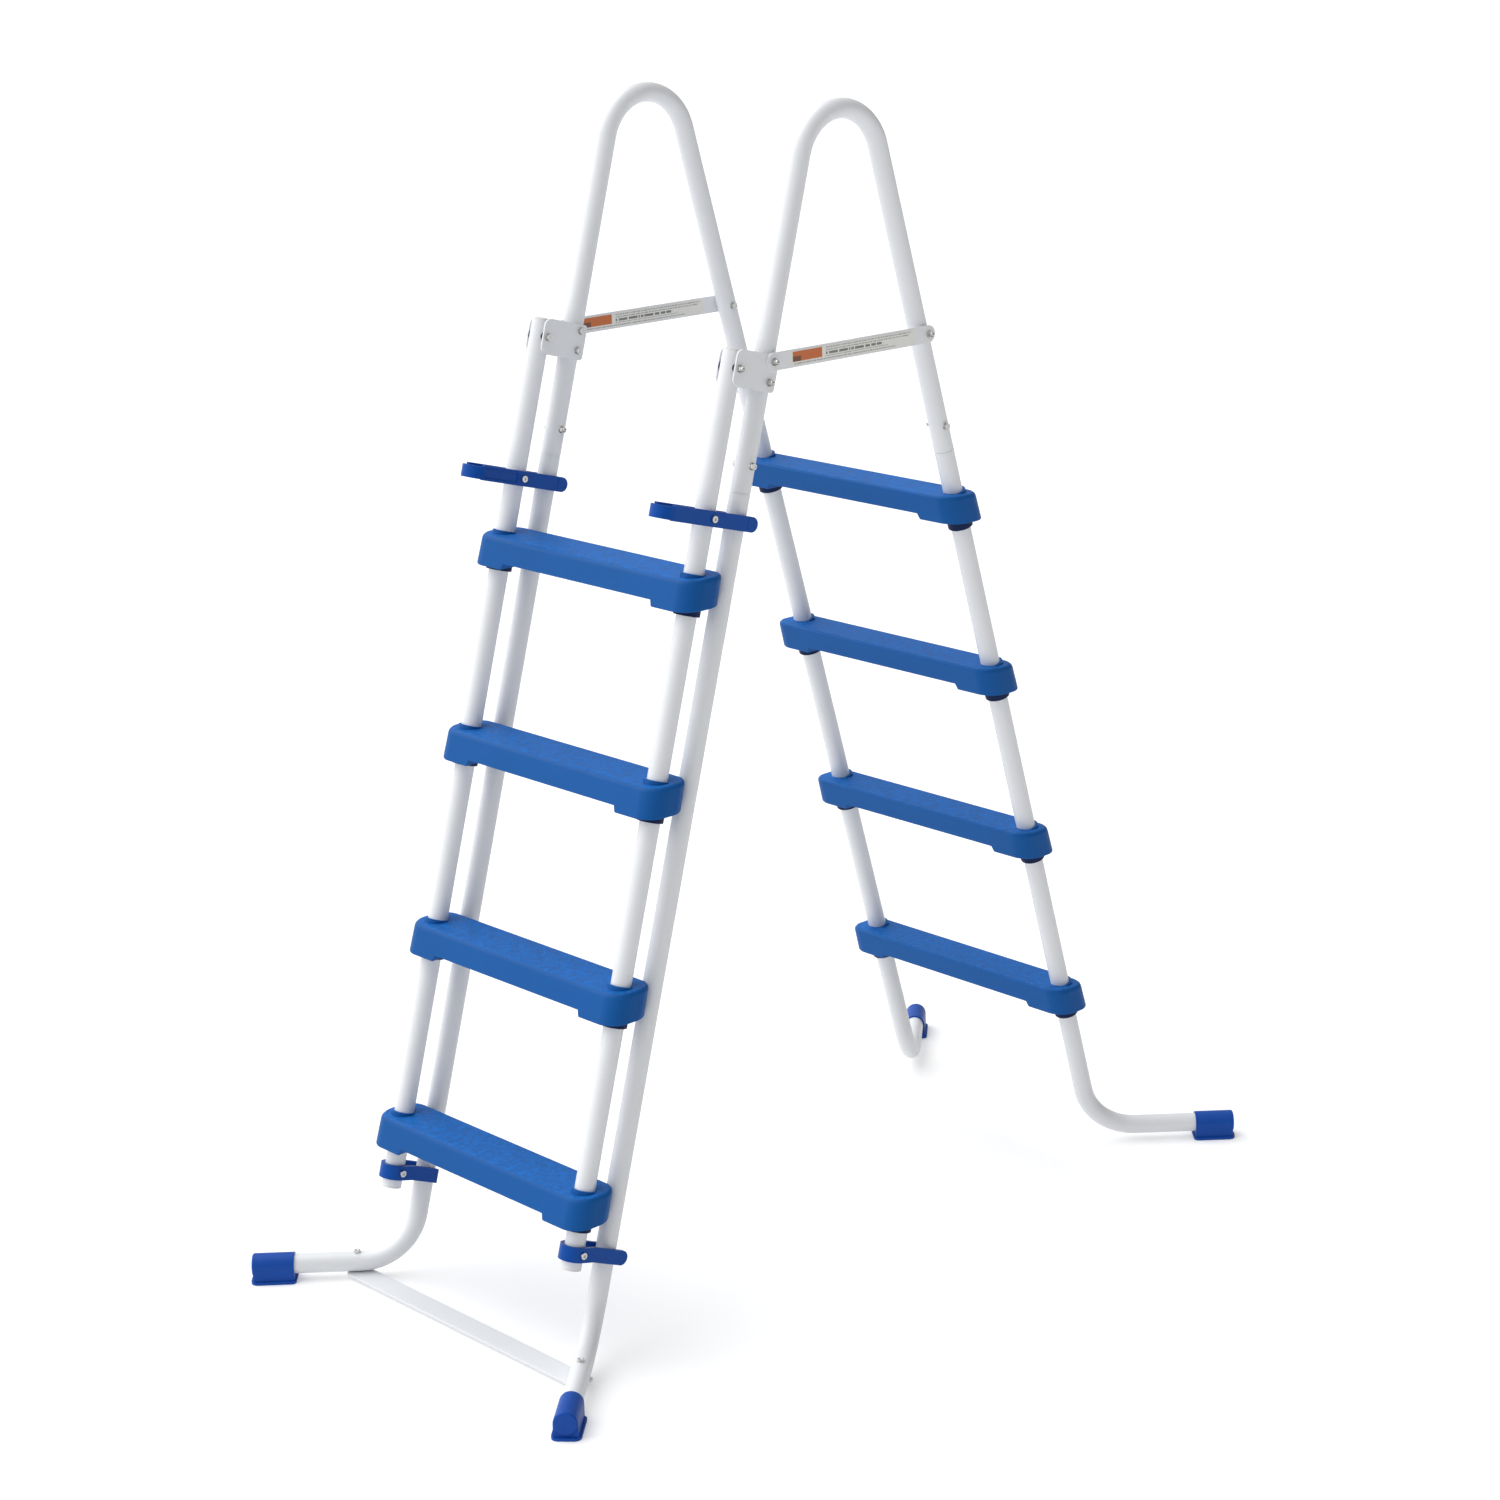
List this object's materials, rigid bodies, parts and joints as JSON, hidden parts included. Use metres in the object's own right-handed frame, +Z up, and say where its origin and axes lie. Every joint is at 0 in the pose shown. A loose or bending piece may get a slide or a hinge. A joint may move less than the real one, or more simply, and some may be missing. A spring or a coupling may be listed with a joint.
{
  "type": "pool ladder",
  "caption": "A-frame pool ladder with bent white tube side frames, blue moulded steps on both sides and an outer step flight that swings up and latches.",
  "frame": {"origin": "centre of the footprint, on the floor", "axes": "+Z up; +X across the ladder; -Y towards the outer (swing-up) flight, +Y towards the pool"},
  "size_m": [0.8136, 1.5646, 1.882],
  "materials": {
    "painted_tube": "white powder coat, satin",
    "painted_plate": "white powder coat, satin",
    "step_plastic": "moulded blue plastic with a fine mottled tread",
    "cap_plastic": "moulded dark blue plastic",
    "latch_plastic": "moulded blue plastic, smooth",
    "bush_plastic": "near-black navy plastic",
    "plug_plastic": "white plastic",
    "hardware": "bright zinc-plated steel",
    "sticker": null
  },
  "bodies": {
    "frame": {"outer_leg_left": "painted_tube", "outer_leg_right": "painted_tube", "inner_leg_left": "painted_tube", "inner_leg_right": "painted_tube", "handrail_left": "painted_tube", "handrail_right": "painted_tube", "bracket_left_inner": "painted_plate", "bracket_left_outer": "painted_plate", "bracket_right_inner": "painted_plate", "bracket_right_outer": "painted_plate", "strap_left": "painted_plate", "strap_right": "painted_plate", "strap_label_left": "sticker", "strap_label_right": "sticker", "crossbar": "painted_plate", "crossbar_bolts": "hardware", "crossbar_nuts": "hardware", "joint_bolts": "hardware", "joint_nuts": "hardware", "bracket_bolts": "hardware", "bracket_nuts": "hardware", "saddle_washers": "hardware", "flat_washers": "hardware", "pivot_bolts": "hardware", "pivot_nuts": "hardware", "strap_bolts": "hardware", "strap_nuts": "hardware", "strap_spacers": "plug_plastic", "inner_step_1": "step_plastic", "inner_step_2": "step_plastic", "inner_step_3": "step_plastic", "inner_step_4": "step_plastic", "inner_step_bushes": "bush_plastic", "inner_step_screws": "hardware", "foot_cap_outer_left": "cap_plastic", "foot_cap_outer_right": "cap_plastic", "foot_cap_inner_left": "cap_plastic", "foot_cap_inner_right": "cap_plastic"},
    "step_section": {"step_rail_left": "painted_tube", "step_rail_right": "painted_tube", "outer_step_1": "step_plastic", "outer_step_2": "step_plastic", "outer_step_3": "step_plastic", "outer_step_4": "step_plastic", "outer_step_bushes": "bush_plastic", "outer_step_screws": "hardware", "rail_end_plugs": "plug_plastic", "rail_top_plugs": "plug_plastic", "pivot_bushes": "bush_plastic", "lower_clip_left": "latch_plastic", "lower_clip_right": "latch_plastic", "clip_screws": "hardware", "clip_nuts": "hardware", "latch_bolts": "hardware", "latch_nuts": "hardware"},
    "latch_left": {"latch_left": "latch_plastic"},
    "latch_right": {"latch_right": "latch_plastic"}
  },
  "joints": [
    {"name": "step_section_swing", "type": "hinge", "parent": "frame", "child": "step_section", "pos_m": [0, -0.23602, 1.49836], "axis": [-1, 0, 0], "range_deg": [0, 165]},
    {"name": "latch_left_lift", "type": "hinge", "parent": "step_section", "child": "latch_left", "pos_m": [-0.224, -0.29772, 1.27886], "axis": [-1, 0, 0], "range_deg": [0, 35]},
    {"name": "latch_right_lift", "type": "hinge", "parent": "step_section", "child": "latch_right", "pos_m": [0.224, -0.29772, 1.27886], "axis": [-1, 0, 0], "range_deg": [0, 35]}
  ]
}
